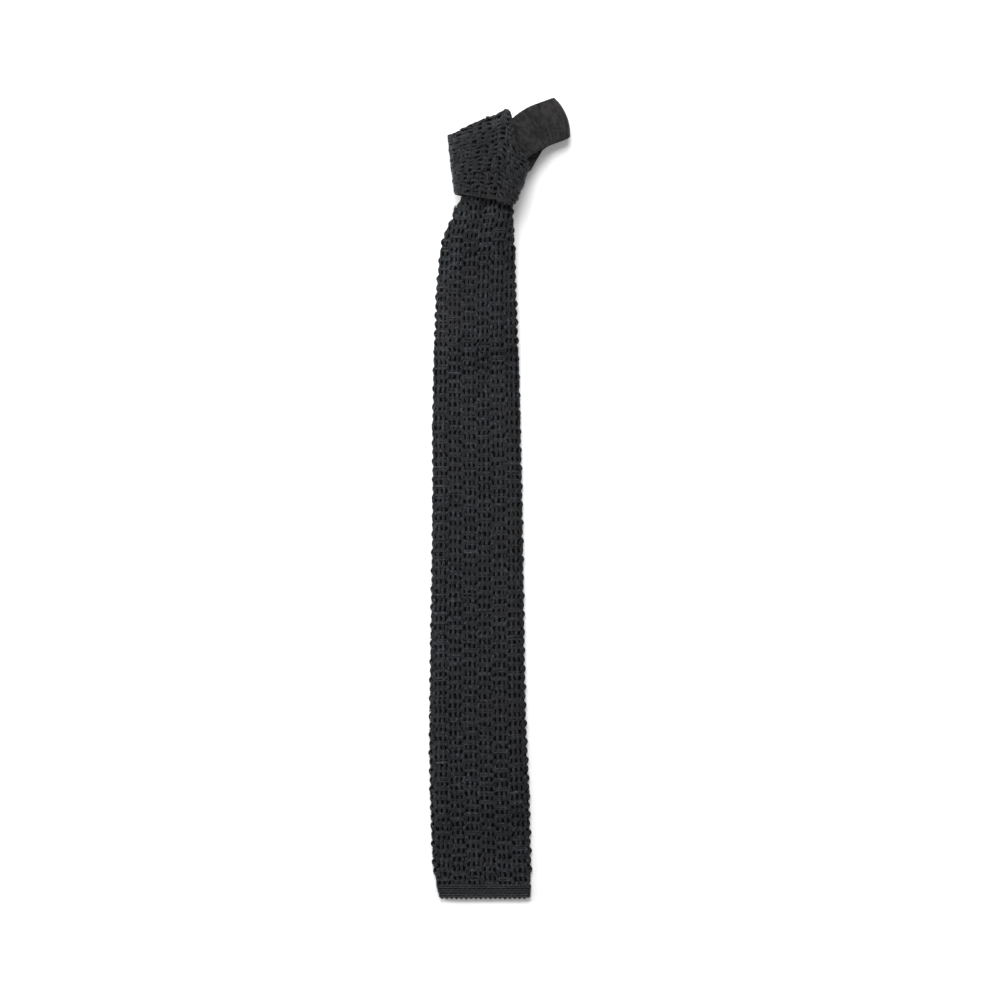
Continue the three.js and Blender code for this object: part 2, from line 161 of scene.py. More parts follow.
def pastLoop(y):
    return smooth(solid["loopDrop"], solid["loopDrop"] + solid["slope"], -np.asarray(y))


def tailUnder(y):
    return level["overLoop"] * (1 - pastLoop(y))


def bladeUnder(y):
    start = solid["tailLength"] + 2 * solid["layGap"]
    past = smooth(start, solid["tailLength"] + solid["slope"], -np.asarray(y))
    return (tailUnder(y) + solid["tubeThick"] + solid["layGap"]) * (1 - past)


def mouthRise(y):
    return 1 - smooth(0, solid["mouthFall"], -np.asarray(y))


# A layer stays flat over what it lies on and sags past it, by these shares of the width and height there.
draping = {"flatOnBand": 0.42, "flatAtMouth": 0.08, "sagPastBand": 0.62, "sagPastTail": 0.92}


def drape(y):
    rise, past, under = mouthRise(y), pastLoop(y), bladeUnder(y)
    flat = lerp(draping["flatOnBand"] * solid["bandWidth"], tailWidthAt(y) / 2, past)
    flat = lerp(flat, draping["flatAtMouth"] * solid["bandWidth"], rise)
    sag = lerp(lerp(draping["sagPastBand"], draping["sagPastTail"], past) * under, solid["mouthRound"], rise)
    drop = np.minimum(sag, lerp(under, sag, rise))
    reach = np.maximum(bladeColumn("width", y) / 2 - solid["tubeThick"] / 2 - flat, solid["tubeThick"])
    return flat, drop / reach ** 2


# A strip of cloth is a set of stations along it, each with the middle of the cloth, its directions
# across and up, its width and thickness, and how it curls, dips and bulges.
class Strip:
    def __init__(self, middle, across, upper, width, thick, curl=0, flat=0, dip=0, bulge=0, along=None):
        count = len(middle)
        self.middle = np.asarray(middle, float)
        self.across = np.broadcast_to(across, (count, 3)).astype(float)
        self.upper = np.broadcast_to(upper, (count, 3)).astype(float)
        self.along = self.across if along is None else np.broadcast_to(along, (count, 3)).astype(float)
        values = {"width": width, "thick": thick, "curl": curl, "flat": flat, "dip": dip, "bulge": bulge}
        for name, value in values.items():
            setattr(self, name, np.broadcast_to(value, (count,)).astype(float))

    def join(self, *others):
        for name in ("middle", "across", "upper", "along", "width", "thick", "curl", "flat", "dip", "bulge"):
            setattr(self, name, np.concatenate([getattr(s, name) for s in (self, *others)]))
        return self

    # Points of the section: share across, out past the edge, and height, as shares
    def section(self, share, out, height, inset=0.0):
        thick = self.thick[:, None] - 2 * inset
        edge = np.minimum(thick / 2, self.width[:, None] / 8)
        half = self.width[:, None] / 2 - edge - inset
        side = share * half
        bend = -self.curl[:, None] * np.maximum(0, np.abs(side) - self.flat[:, None]) ** 2
        bend = bend - self.dip[:, None] * np.exp(-((share / solid["dimpleWidth"]) ** 2))
        rise = bend + height * thick / 2
        forward = self.bulge[:, None] * (1 - share * share)
        return (self.middle[:, None] + (side + out * edge)[..., None] * self.across[:, None]
                + rise[..., None] * self.upper[:, None] + forward[..., None] * self.along[:, None])


# The section's outline, with half-round edges, once round from the left edge over the top
def roundSection(steps, edgeSteps=6):
    shares = np.linspace(-1, 1, steps + 1)
    turn = np.linspace(math.pi / 2, -math.pi / 2, edgeSteps + 1)[1:-1]
    share = np.concatenate([shares, np.ones(edgeSteps - 1), -shares, -np.ones(edgeSteps - 1)])
    out = np.concatenate([0 * shares, np.cos(turn), 0 * shares, -np.cos(turn)])
    height = np.concatenate([0 * shares + 1, np.sin(turn), 0 * shares - 1, -np.sin(turn)])
    return share, out, height


# Turns a grid of places, rows along by columns round, into a piece. The grid comes from bmesh, and is
# joined where its first and last columns meet, and its first and last rows too where it is a ring.
def gridPiece(name, places, filled=True, ring=False):
    places = np.concatenate([places, places[:, :1]], 1)
    if ring:
        places = np.concatenate([places, places[:1]], 0)
    rows, columns = places.shape[:2]
    mesh = bpy.data.meshes.new(name)
    bm = bmesh.new()
    bm.loops.layers.uv.new("UVMap")
    bmesh.ops.create_grid(bm, x_segments=columns - 1, y_segments=rows - 1, size=1, calc_uvs=True)
    bm.to_mesh(mesh)
    co = np.empty(len(mesh.vertices) * 3)
    mesh.vertices.foreach_get("co", co)
    co = co.reshape(-1, 3)
    i = np.rint((co[:, 1] + 1) / 2 * (rows - 1)).astype(int)
    j = np.rint((co[:, 0] + 1) / 2 * (columns - 1)).astype(int)
    mesh.vertices.foreach_set("co", ((places[i, j] + mouth) * 0.001).ravel())
    uv = np.empty(len(mesh.loops) * 2)
    mesh.uv_layers[0].data.foreach_get("uv", uv)
    uv = uv.reshape(-1, 2)
    for k, count in ((0, columns), (1, rows)):           # the piece's own map is in millimetres
        steps = np.linalg.norm(np.diff(places, axis=1 - k), axis=2).mean(k)
        uv[:, k] = np.interp(uv[:, k], np.linspace(0, 1, count), np.concatenate([[0], steps.cumsum()]))
    mesh.uv_layers[0].data.foreach_set("uv", uv.ravel())
    bm.clear()
    bm.from_mesh(mesh)
    bmesh.ops.remove_doubles(bm, verts=bm.verts, dist=1e-7)
    if filled:
        bmesh.ops.holes_fill(bm, edges=[e for e in bm.edges if e.is_boundary], sides=0)
    bmesh.ops.recalc_face_normals(bm, faces=bm.faces)
    for face in bm.faces:
        face.smooth = True
    bm.to_mesh(mesh)
    bm.free()
    return addPiece(name, mesh)


def addPiece(name, mesh):
    piece = bpy.data.objects.new(name, mesh)
    bpy.context.scene.collection.objects.link(piece)
    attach(piece, "root")
    return piece


# Many lengths of yarn as one mesh. paths and normals are (yarns, points, 3), radius is one number or
# one for each point, and shade is one number for each yarn, which the finish reads.
def yarnPiece(name, paths, normals, radius, sides, shade):
    count, points = paths.shape[:2]
    radius = np.broadcast_to(radius, (count, points))
    tangent = unit(np.gradient(paths, axis=1))
    side = unit(np.cross(tangent, normals))
    above = np.cross(side, tangent)
    angle = np.arange(sides) * 2 * math.pi / sides
    ring = np.cos(angle)[:, None] * above[:, :, None] + np.sin(angle)[:, None] * side[:, :, None]
    places = paths[:, :, None] + ring * radius[:, :, None, None]
    index = np.arange(count * points * sides).reshape(count, points, sides)
    nextRound = np.roll(index, -1, 2)
    quads = np.stack([index[:, :-1], nextRound[:, :-1], nextRound[:, 1:], index[:, 1:]], -1).reshape(-1, 4)
    caps = np.concatenate([index[:, 0, ::-1], index[:, -1]])
    mesh = bpy.data.meshes.new(name)
    mesh.vertices.add(count * points * sides)
    mesh.vertices.foreach_set("co", ((places + mouth) * 0.001).ravel())
    corners = np.concatenate([quads.ravel(), caps.ravel()])
    mesh.loops.add(len(corners))
    mesh.loops.foreach_set("vertex_index", corners.astype(np.int32))
    starts = np.concatenate([np.arange(len(quads)) * 4, quads.size + np.arange(len(caps)) * sides])
    mesh.polygons.add(len(starts))
    mesh.polygons.foreach_set("loop_start", starts.astype(np.int32))
    mesh.polygons.foreach_set("use_smooth", np.ones(len(starts), bool))
    # The yarn's own map: millimetres along it, and shares of a turn round it
    steps = np.linalg.norm(np.diff(paths, axis=1), axis=2)
    length = np.concatenate([np.zeros((count, 1)), steps.cumsum(1)], 1)
    u = np.broadcast_to(length[:, :, None], (count, points, sides))
    v = np.broadcast_to(np.arange(sides) / sides, (count, points, sides))
    vNext = v + 1 / sides
    quadU = np.stack([u[:, :-1], u[:, :-1], u[:, 1:], u[:, 1:]], -1)
    quadV = np.stack([v[:, :-1], vNext[:, :-1], vNext[:, 1:], v[:, 1:]], -1)
    capUv = np.zeros((caps.size, 2))
    uv = np.concatenate([np.stack([quadU.ravel(), quadV.ravel()], -1), capUv])
    layer = mesh.uv_layers.new(name="UVMap")
    layer.data.foreach_set("uv", uv.ravel())
    store = mesh.attributes.new("shade", "FLOAT", "POINT")
    store.data.foreach_set("value", np.repeat(shade, points * sides))
    mesh.validate()
    mesh.update()
    return addPiece(name, mesh)


# The blade and the tail as strips, and the blade's turn inside the knot
def bladeStrip(y):
    rise = mouthRise(y)
    x = bladeColumn("drift", y)
    z = lerp(bladeUnder(y) + solid["tubeThick"] / 2, level["frontLeg"] - solid["layGap"], rise)
    flat, curl = drape(y)
    dip = solid["tubeThick"] / solid["bladeWidth"] * bladeColumn("dimple", y)
    return Strip(row(x, y, z), (1, 0, 0), up, bladeColumn("width", y), solid["tubeThick"], curl, flat, dip)


def tailStrip(y):
    rise = mouthRise(y)
    x = bladeColumn("drift", y) + 0.09 * solid["knotWidth"] * rise
    z = lerp(tailUnder(y) + solid["tubeThick"] / 2, level["tailMouth"], rise)
    flat, curl = drape(y)
    return Strip(row(x, y, z), (1, 0, 0), up, tailWidthAt(y), solid["tubeThick"], curl, flat)


def hookStrip():
    top = row(-0.04 * solid["knotWidth"], 0.68 * solid["knotHeight"], 0)
    topWidth = 0.5 * solid["knotWidth"]
    peak = 4                              # the row of the upper rim's top corner
    stations = 15                         # round the half turn
    fullTilt = math.atan2((upperRim["y"][peak] - upperRim["y"][0]) * solid["knotHeight"],
                          (upperRim["x"][peak] - upperRim["x"][0]) * solid["knotWidth"])
    radius = (level["frontLeg"] - level["backLeg"]) / 2
    start = bladeStrip(np.array([0.0]))
    turn = np.linspace(-math.pi / 2, math.pi / 2, stations)
    share = np.concatenate([[0.55, 0.7, 0.85], 1 + 0 * turn, [0.8, 0.6, 0.4, 0.2, 0.1]])
    upper = np.concatenate([np.tile(-up, (3, 1)), np.zeros((stations, 3)), np.tile(up, (5, 1))])
    forward = np.concatenate([[0, 0, 0], radius * np.cos(turn), [0] * 5])
    z = np.concatenate([[level["backLeg"]] * 3, level["backLeg"] + radius * (1 + np.sin(turn)),
                        level["frontLeg"] - solid["layGap"] * (1 - share[-5:])])
    tilt = fullTilt * smooth(0, 1, share)
    along = row(-np.sin(tilt), np.cos(tilt), 0)
    upper[3:-5] = along[3:-5] * np.cos(turn)[:, None] + up * np.sin(turn)[:, None]
    middle = lerp(start.middle[0], top, share[:, None])
    middle[:, 2] = z
    inMouth = (1 - smooth(0.05, 0.35, share)) * (upper[:, 2] > 0.5)
    width = lerp(start.width[0], topWidth, smooth(0, 0.5, share))
    return Strip(middle + along * forward[:, None], row(np.cos(tilt), np.sin(tilt), 0), upper, width,
                 solid["tubeThick"], start.curl[0] * inMouth, start.flat[0], start.dip[0] * inMouth)


# The neck band's middle line from above: through the table's rows, then straight down behind the blade
bandEndX = float(bladeColumn("drift", -solid["loopDrop"]))
bandPlan = np.array(
    [[x * solid["knotWidth"], y * solid["knotHeight"]] for x, y in zip(bandTable["x"], bandTable["y"])]
    + [[0.9 * bandEndX, -0.72 * solid["loopDrop"]],
       [bandEndX, -solid["loopDrop"] + (level["bandHigh"] - level["bandLow"]) / 2 + solid["bandThick"] / 2]])
bandRows = len(bandPlan) - 1


def bandPoint(at):
    at = np.clip(np.asarray(at, float), 0, bandRows - 1e-6)
    i = np.floor(at).astype(int)
    t = (at - i)[:, None]
    plan = np.concatenate([[2 * bandPlan[0] - bandPlan[1]], bandPlan, [2 * bandPlan[-1] - bandPlan[-2]]])
    p0, p1, p2, p3 = plan[i], plan[i + 1], plan[i + 2], plan[i + 3]
    d0, d1, d2 = (np.linalg.norm(b - a, axis=1)[:, None] ** 0.5 for a, b in ((p0, p1), (p1, p2), (p2, p3)))
    t1 = d1 * ((p1 - p0) / d0 - (p2 - p0) / (d0 + d1) + (p2 - p1) / d1)
    t2 = d1 * ((p2 - p1) / d1 - (p3 - p1) / (d1 + d2) + (p3 - p2) / d2)
    return (p1 + t1 * t + (3 * (p2 - p1) - 2 * t1 - t2) * t ** 2 + (2 * (p1 - p2) + t1 + t2) * t ** 3)


def bandHeading(at):
    at = np.clip(np.asarray(at, float), 1e-3, bandRows - 2e-3)
    flat = unit(bandPoint(at + 1e-3) - bandPoint(at - 1e-3))
    return row(flat[:, 0], flat[:, 1], 0)


def bandStrip(at, z, upper, pinched=False, forward=0.0):
    at = np.asarray(at, float)
    heading, flat = bandHeading(at), bandPoint(at)
    kept = np.interp(at, np.arange(len(bandTable["pinch"])), bandTable["pinch"]) if pinched else 1.0
    middle = row(flat[:, 0], flat[:, 1], z) + heading * np.broadcast_to(forward, at.shape)[:, None]
    return Strip(middle, row(-heading[:, 1], heading[:, 0], 0), upper, solid["bandWidth"] * kept,
                 solid["bandThick"], bulge=-solid["foldBulge"] * (1 - smooth(0, 1.1, at)), along=heading)


def strandZ(at, inKnot, steps):
    atFold = level["bandHigh"] + steps * (solid["bandThick"] + solid["layGap"])
    return lerp(atFold, inKnot, smooth(0.3, 2.6, at))


def bandFold(at, low, high, side, count):
    angle = np.linspace(0, math.pi, count + 2)[1:-1]
    heading = bandHeading(np.full(count, float(at)))
    upper = heading * (side * np.sin(angle))[:, None] + up * (np.cos(angle) * np.sign(low - high))[:, None]
    z = (low + high) / 2 + (low - high) / 2 * np.cos(angle)
    return bandStrip(np.full(count, float(at)), z, upper, False, side * abs(high - low) / 2 * np.sin(angle))


def neckBandStrip(spacing):
    def runRows(first, last):
        rows = np.linspace(first, last, 400)
        length = runLength(bandPoint(rows))
        return np.interp(np.arange(0, length[-1], spacing), length, rows)

    strand, under = runRows(solid["strandEndRow"], 0), runRows(0, bandRows)
    outer = strandZ(strand, level["outerStrand"], 2)
    inner = strandZ(strand[::-1], level["innerStrand"], 1)
    turn = int(math.pi * (outer[-1] - level["bandLow"]) / 2 / spacing)
    small = int(math.pi * (level["bandHigh"] - level["bandLow"]) / 2 / spacing)
    return bandStrip(strand, outer, up, True).join(
        bandFold(0, outer[-1], level["bandLow"], -1, turn),
        bandStrip(under, level["bandLow"], -up),
        bandFold(bandRows, level["bandLow"], level["bandHigh"], 1, small),
        bandStrip(under[::-1], level["bandHigh"], up),
        bandFold(0, level["bandHigh"], inner[0], -1, small),
        bandStrip(strand[::-1], inner, -up, True))


# The wrap's outside, by turns round the knot and share of the way from its lower rim to its upper one
wrap = {"face": 3.4, "back": 5.0, "crown": 1.6, "topFall": 4.5, "lipFall": 1.0}


def rimPoint(table, share, onFace):
    columns = []
    for name, size in (("x", solid["knotWidth"]), ("y", solid["knotHeight"])):
        straight = lerp(table[name][0], table[name][-1], share)
        columns.append(size * np.where(onFace, readTable(table, "across", name, share), straight))
    return np.stack(columns, -1)


def wrapPoint(turn, rise):
    turn, rise = np.broadcast_arrays(np.mod(turn, 1.0), rise)
    onFace = turn <= 0.5
    cosine = np.cos(2 * math.pi * turn)
    share = (1 - cosine) / 2
    square = np.where(onFace, wrap["face"], wrap["back"])
    height = np.maximum(1 - np.abs(cosine) ** square, 0) ** (1 / square)
    overTop = smooth(0.8, 1, rise) * (1 - smooth(0.5, 0.68, share))
    fall = wrap["topFall"] * overTop + wrap["lipFall"] * (1 - smooth(0, 0.25, rise))
    crown = np.where(onFace, (wrap["crown"] * (1 - (2 * rise - 1) ** 2) - fall) * height, 0)
    halfHeight = (level["wrapTop"] - level["overLoop"]) / 2
    flat = lerp(rimPoint(lowerRim, share, onFace), rimPoint(upperRim, share, onFace), rise[..., None])
    z = level["overLoop"] + halfHeight * np.where(onFace, 1 + height, 1 - height) + crown
    return row(flat[..., 0], flat[..., 1], z)


# Every surface that carries stitches gives a place for millimetres across and millimetres along it.
def tubeSurface(stripAt, side):
    def place(across, y):
        across, y = np.broadcast_arrays(across, y)
        strip = stripAt(y.ravel())
        edge = solid["tubeThick"] / 2
        a, half = across.ravel(), strip.width / 2 - edge
        inside = np.clip(a, -half, half)
        angle = np.minimum((np.abs(a) - half).clip(0) / edge, math.pi)
        bend = -strip.curl * np.maximum(0, np.abs(inside) - strip.flat) ** 2
        bend = bend - strip.dip * np.exp(-((inside / half / solid["dimpleWidth"]) ** 2))
        x = strip.middle[:, 0] + inside + np.sign(a) * edge * np.sin(angle)
        z = strip.middle[:, 2] + bend + side * edge * np.cos(angle)
        return row(x, y.ravel(), z).reshape(across.shape + (3,))

    return place, side


wrapTurns = np.linspace(0, 1, 721)
wrapLengths = runLength(wrapPoint(wrapTurns, 0.5))


def turnAt(along):
    return np.interp(np.mod(along, wrapLengths[-1]), wrapLengths, wrapTurns)


def wrapSpan(turn):
    rises = np.linspace(0, 1, 25)
    places = wrapPoint(np.asarray(turn)[..., None], rises)
    return np.linalg.norm(np.diff(places, axis=-2), axis=-1).sum(-1)


spanTurns = np.linspace(0, 1, 181)
spanTable = wrapSpan(spanTurns)


def wrapSurface():
    def place(across, along):
        turn = turnAt(along)
        return wrapPoint(turn, 0.5 + across / np.interp(turn, spanTurns, spanTable))

    return place, -1


def onSurface(surface, across, along, height):
    place, side = surface
    step = 0.05
    across, along = np.broadcast_arrays(across, along)
    normal = side * unit(np.cross(place(across + step, along) - place(across - step, along),
                                  place(across, along + step) - place(across, along - step)))
    return place(across, along) + normal * np.broadcast_to(height, across.shape)[..., None], normal


def section(strip, inset=0.0, steps=20):
    share, out, height = roundSection(steps)
    return strip.section(share, out, height, inset)


# The knit: chains of loops run along the cloth, in blocks of three, and a few plies of yarn lie across
# each block on every second course, one course further on in the next block.
knit = {
    "course": 2.82, "wale": 3.0, "block": 3,
    "wales": 14,                         # to each side of the middle, at most
    "spread": (0.965, 1.035), "spreadLength": 430,
    "yarn": 0.41, "yarnSpread": 0.1, "loopHalf": 0.45, "loopDepth": -0.46,
    "slack": 0.2,                        # how unevenly the yarns lie
    "blockSway": 0.8, "innerSway": 0.35,
    "wander": 0.7, "wanderWaves": (9.5, 41, 23, 67),
    "clothInset": 0.9,
    "loopX": [-0.05, -0.96, -0.96, 0.0, 0.96, 0.96, 0.05],       # shares of loopHalf
    "loopY": [-0.24, 0.2, 0.78, 1.14, 0.78, 0.2, -0.24],         # shares of a course
    "loopUp": [-0.3, 0.02, 0.06, -0.1, 0.06, 0.02, -0.3],
}
crossYarn = {
    "plies": 3, "gap": 1.06, "yarn": 0.5, "yarnSpread": 0.12, "depth": -0.64,
    "gather": 0.3,                       # how far the plies close up at their ends
    "endSlack": 0.12, "twist": 0.12, "wave": 0.16, "dive": 0.5, "crown": 0.14,
    "past": 0.6, "shortest": 1.6, "overlap": 0.15,
}


def sway(course, wale):
    phase = np.sin(math.pi / 2 * (course + 0.5))
    atBlock = np.mod(wale, knit["block"]) == 0
    return np.where(atBlock, knit["blockSway"], knit["innerSway"]) * phase


# The middle wale of a block carries its plies, on every second course.
def carriesPlies(course, wale):
    return (wale % knit["block"] == 1) & ((course + wale // knit["block"]) % 2 == 0)


def pairs(courses, wales):
    return (v.ravel() for v in np.meshgrid(courses, wales, indexing="ij"))


def wander(across, along):
    short, tall, wide, long = knit["wanderWaves"]
    return knit["wander"] * np.sin(across / short + along / tall) * np.cos(across / wide - along / long)


# Loops of chain stitch on a surface. across, along, course and wale are one number for each loop, and
# size narrows the loops where the cloth is gathered.
def addLoops(name, surface, across, along, course, wale, sides=5, size=1.0, loose=1.0):
    count = len(across)
    size = np.broadcast_to(size, (count,))[:, None]
    x = np.array(knit["loopX"]) * knit["loopHalf"] * size
    y = np.broadcast_to(np.array(knit["loopY"]) * knit["course"], x.shape)
    lean = (sway(course + 1, wale) - sway(course, wale))[:, None] / knit["course"]
    a = across[:, None] + x + sway(course, wale)[:, None] * size + lean * y * size
    slack = knit["slack"] * loose
    a = a + random.normal(0, slack, (count, 1))
    s = along[:, None] + y + random.normal(0, 1.3 * slack, (count, 1)) + wander(a, along[:, None])
    lift = knit["loopDepth"] + np.array(knit["loopUp"]) + random.normal(0, knit["slack"], (count, 1))
    places, normals = onSurface(surface, a, s, lift)
    radius = knit["yarn"] * random.normal(1, knit["yarnSpread"], (count, 1)) * lerp(0.8, 1, size)
    return yarnPiece(name, places, normals, radius, sides, random.random(count))


# The plies of yarn across a block: across is the block's middle, reach is half of its width, and lay
# says how many plies there are and how far apart.
def addFloats(name, surface, across, along, reach, sides=5, lay=crossYarn, loose=1.0):
    count, plies, gap = len(across), lay["plies"], lay["gap"]
    t = np.linspace(-1, 1, 7)
    paths, normals = [], []
    for ply in np.arange(plies) - (plies - 1) / 2:
        a = across[:, None] + t * reach[:, None] + random.normal(0, crossYarn["endSlack"], (count, 1))
        s = along[:, None] + ply * gap * (1 - crossYarn["gather"] * t ** 4) + wander(a, along[:, None])
        s = s + random.normal(0, knit["slack"] * loose, (count, 1))
        s = s + crossYarn["twist"] * np.cos(1.5 * math.pi * t + ply)
        lift = crossYarn["depth"] + crossYarn["wave"] * np.cos(3 * math.pi * t)
        lift = lift - crossYarn["dive"] * t ** 6 - crossYarn["crown"] * abs(ply)
        lift = lift + random.normal(0, 1.1 * knit["slack"], (count, 1))
        place, normal = onSurface(surface, a, s, lift)
        paths.append(place)
        normals.append(normal)
    paths, normals = np.concatenate(paths), np.concatenate(normals)
    radius = crossYarn["yarn"] * random.normal(1, crossYarn["yarnSpread"], (len(paths), 1))
    return yarnPiece(name, paths, normals, radius, sides, random.random(len(paths)))


# Where the loops and floats of a tube lie, down from just above the knot's mouth to its hem
def tubeLattice(stripAt, first, last, over):
    courses = np.arange(int(-first / knit["course"]), int(-last / knit["course"]) + 1)
    wales = np.arange(-knit["wales"], knit["wales"] + 1)
    course, wale = pairs(courses, wales)
    along = -(course + 0.5) * knit["course"]
    pitch = knit["wale"] * lerp(*knit["spread"], smooth(0, knit["spreadLength"], -along))
    limit = stripAt(along).width / 2 - solid["tubeThick"] / 2 + over
    across = wale * pitch
    kept = np.abs(across) <= limit
    loops = [v[kept] for v in (across, along, course, wale)]
    past = limit + crossYarn["past"]
    low, high = (np.clip((wale + end) * pitch, -past, past) for end in (-1, 2))
    shown = carriesPlies(course, wale) & (high - low > crossYarn["shortest"])
    reach = (high - low) / 2 + crossYarn["overlap"]
    floats = [v[shown] for v in ((low + high) / 2, along + 0.5 * knit["course"], reach)]
    return loops, floats


# The loops at a tube's edge, where the yarn turns back every second course: a small scallop, and every
# second one stands out more.
selvedge = {
    "every": 2, "out": [0.1, 0.5], "outSpread": 0.2, "yarn": [0.5, 0.56], "reach": 1.9,
    "bow": 0.5, "inset": 0.95, "innerPly": 0.3, "plySide": 0.25, "plyUp": 0.35, "plyLean": 0.5,
}


def addSelvedge(name, stripAt, first, last):
    step = selvedge["every"] * knit["course"]
    along = -np.arange(-first + step, -last - step / 2, step)
    paths, normals, radii = [], [], []
    for side in (-1, 1):
        for ply in (-1, 1):
            odd = (np.arange(len(along)) + (side > 0)) % 2
            out = np.where(odd == 1, selvedge["out"][1], selvedge["out"][0])
            out = out * random.normal(1, selvedge["outSpread"], len(along))
            t = np.linspace(-1, 1, 7)
            y = along[:, None] + 0.5 * (side > 0) * knit["course"] + t * selvedge["reach"]
            y = y + selvedge["plySide"] * ply
            strip = stripAt(y.ravel())
            half = (strip.width / 2).reshape(y.shape)
            edge = half - solid["tubeThick"] / 2
            bend = -strip.curl * np.maximum(0, edge.ravel() - strip.flat) ** 2
            x = half + (out[:, None] + selvedge["bow"]) * np.cos(t * math.pi / 2)
            x = x - selvedge["inset"] - selvedge["innerPly"] * (ply < 0)
            z = (strip.middle[:, 2] + bend).reshape(y.shape)
            z = z + selvedge["plyUp"] * ply + selvedge["plyLean"] * t * ply
            middle = strip.middle[:, 0].reshape(y.shape)
            paths.append(row(middle + side * x, y, z))
            normals.append(np.broadcast_to(up, paths[-1].shape))
            radii.append(np.where(odd == 1, selvedge["yarn"][1], selvedge["yarn"][0]))
    paths, normals, radii = (np.concatenate(v) for v in (paths, normals, radii))
    return yarnPiece(name, paths, normals, radii[:, None], 5, random.random(len(paths)))


# One face of a tube's knit: over is how far it goes round the tube's edges
def addTubeKnit(prefix, stripAt, first, last, side, over, sides):
    surface = tubeSurface(stripAt, side)
    loops, floats = tubeLattice(stripAt, first, last, over)
    return [addLoops(prefix + "_loops", surface, *loops, sides=sides),
            addFloats(prefix + "_floats", surface, *floats, sides=sides)]


hemTop = -(solid["bladeLength"] - solid["hemHeight"] - solid["layGap"])
stationGap = 3.0                          # between the stations of a tube's cloth
bladeRows = np.arange(0, -hemTop, stationGap)
bladeShape = hookStrip().join(bladeStrip(-bladeRows), bladeStrip(np.array([hemTop])))
bladeCloth = gridPiece("blade_cloth", section(bladeShape, knit["clothInset"]))
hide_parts("front_blade")
bladeFace = addTubeKnit("blade_face", bladeStrip, 2.0, hemTop, 1, 1.6, 5)
bladeBack = addTubeKnit("blade_back", bladeStrip, -2.0, hemTop, -1, 0.4, 4)
bladeEdge = addSelvedge("blade_selvedges", bladeStrip, -4.0, hemTop)
print("blade:", [len(p.data.polygons) for p in (bladeCloth, *bladeFace, *bladeBack, bladeEdge)])

tailTop = -(solid["tailLength"] - solid["hemHeight"] - solid["layGap"])
tailRows = np.arange(0, -tailTop, stationGap)
tailStart = np.array([solid["strandEndRow"] + 0.06, 4.1, 4.5])
tailInKnot = bandStrip(tailStart, lerp((level["innerStrand"] + level["outerStrand"]) / 2, level["tailMouth"],
                                       smooth(solid["strandEndRow"], 4.5, tailStart)), up, True)
tailInKnot.thick[:] = solid["tubeThick"]
tailInKnot.bulge[:] = 0
tailShape = tailInKnot.join(tailStrip(-tailRows), tailStrip(np.array([tailTop])))
tailCloth = gridPiece("tail_cloth", section(tailShape, knit["clothInset"], 16))
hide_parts("tail_blade")
tailBack = addTubeKnit("tail_back", tailStrip, -2.0, tailTop, -1, 1.6, 4)
tailEdge = addSelvedge("tail_selvedges", tailStrip, -4.0, tailTop)
print("tail:", [len(p.data.polygons) for p in (tailCloth, *tailBack, tailEdge)])


# A hem: an open flat tube, with yarns in ridges round it and a row of small teeth at its end
hem = {
    "inset": 0.55, "wall": 1.0, "gap": 0.2,               # gap: half of that between the tube's layers
    "lip": 0.4, "lipEnd": 0.15,
    "ridges": 3, "perRidge": 2, "apart": 1.3, "yarn": 0.66, "yarnInset": 0.5, "wave": 0.14,
}
teeth = {
    "out": 0.9, "outSpread": 0.12, "yarn": 0.42, "half": 0.75, "up": 0.85, "rise": 0.35,
    "station": 0.5, "left": 1.8, "right": 1.6,            # left, right: how far in from the hem's corners
}


def hemCloth(name, stripAt, length):
    end, top = -length, -length + solid["hemHeight"]
    outerY = np.linspace(top, end + hem["lip"], 9)
    profile = [(y, hem["inset"]) for y in outerY] + [(end + hem["lipEnd"], hem["inset"] + hem["wall"] / 2)]
    profile += [(y, solid["tubeThick"] / 2 - hem["gap"]) for y in outerY[::-1]]
    rings = [section(stripAt(np.array([y])), depth, 20)[0] for y, depth in profile]
    return gridPiece(name, np.array(rings), ring=True, filled=False)


def hemYarns(name, stripAt, length):
    top = -length + solid["hemHeight"]
    ridge = solid["hemHeight"] / hem["ridges"]
    share, out, height = roundSection(84)
    paths = []
    for i in range(hem["ridges"]):
        for j in range(hem["perRidge"]):
            y = top - (i + 0.5) * ridge + (j - (hem["perRidge"] - 1) / 2) * hem["apart"]
            ring = stripAt(np.array([y])).section(share, out, height, hem["yarnInset"])[0]
            ring[:, 1] += hem["wave"] * np.sin(2 * math.pi * runLength(ring) / knit["wale"] + j * math.pi)
            paths.append(np.concatenate([ring, ring[:1]]))
    paths = np.array(paths)
    outward = (paths - paths.mean(1, keepdims=True)) * [0.02, 0, 1]       # mostly up or down
    return yarnPiece(name, paths, unit(outward), hem["yarn"], 6, random.random(len(paths)))


def hemTeeth(name, stripAt, length):
    strip = stripAt(np.array([-length + teeth["station"]]))
    half = strip.width[0] / 2
    x = np.arange(-half + teeth["left"], half - teeth["right"], knit["wale"])
    t = np.linspace(-1, 1, 6)
    paths = []
    for layer in (-1, 1):
        a = x[:, None] + t * teeth["half"]
        out = teeth["out"] * np.cos(t * math.pi / 2) * random.normal(1, teeth["outSpread"], (len(x), 1))
        z = strip.middle[0, 2] + layer * teeth["up"]
        paths.append(row(strip.middle[0, 0] + a, -length + teeth["rise"] - out, z))
    paths = np.concatenate(paths)
    normals = np.broadcast_to(up, paths.shape)
    return yarnPiece(name, paths, normals, teeth["yarn"], 5, random.random(len(paths)))


